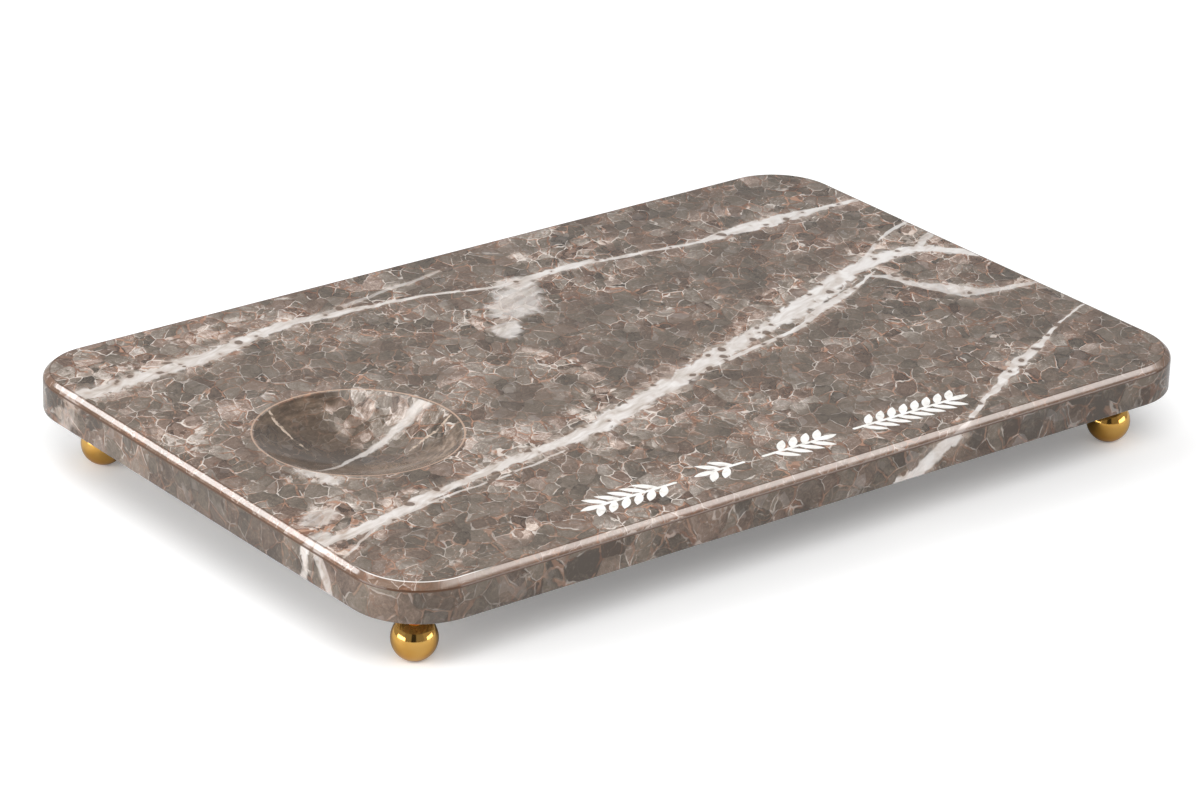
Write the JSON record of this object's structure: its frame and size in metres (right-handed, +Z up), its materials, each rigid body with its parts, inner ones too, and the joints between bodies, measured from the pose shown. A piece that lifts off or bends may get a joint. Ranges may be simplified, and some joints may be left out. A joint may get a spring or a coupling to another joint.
{
  "type": "challah board",
  "caption": "Rectangular polished marble challah board with rounded corners, a round salt dip, inlaid wheat sprigs and brass ball feet.",
  "frame": {"origin": "on the table, under the middle of the slab", "axes": "+X along the long edge, with the salt dip towards -X; -Y towards the inlaid front edge; +Z up"},
  "size_m": [0.4, 0.262, 0.041],
  "materials": {
    "marble": "polished",
    "polished_brass": "mirror polished",
    "stud_steel": "zinc plated",
    "insert_brass": "as turned",
    "nylon": "satin, translucent white",
    "white_resin": "satin"
  },
  "bodies": {
    "root": {"marble_slab": "marble", "wheat_sprig_outer_left": "white_resin", "wheat_sprig_inner_left": "white_resin", "wheat_sprig_inner_right": "white_resin", "wheat_sprig_outer_right": "white_resin", "ball_foot_front_left": "polished_brass", "foot_washer_front_left": "nylon", "foot_stud_front_left": "stud_steel", "threaded_insert_front_left": "insert_brass", "ball_foot_front_right": "polished_brass", "foot_washer_front_right": "nylon", "foot_stud_front_right": "stud_steel", "threaded_insert_front_right": "insert_brass", "ball_foot_back_left": "polished_brass", "foot_washer_back_left": "nylon", "foot_stud_back_left": "stud_steel", "threaded_insert_back_left": "insert_brass", "ball_foot_back_right": "polished_brass", "foot_washer_back_right": "nylon", "foot_stud_back_right": "stud_steel", "threaded_insert_back_right": "insert_brass"}
  },
  "joints": []
}
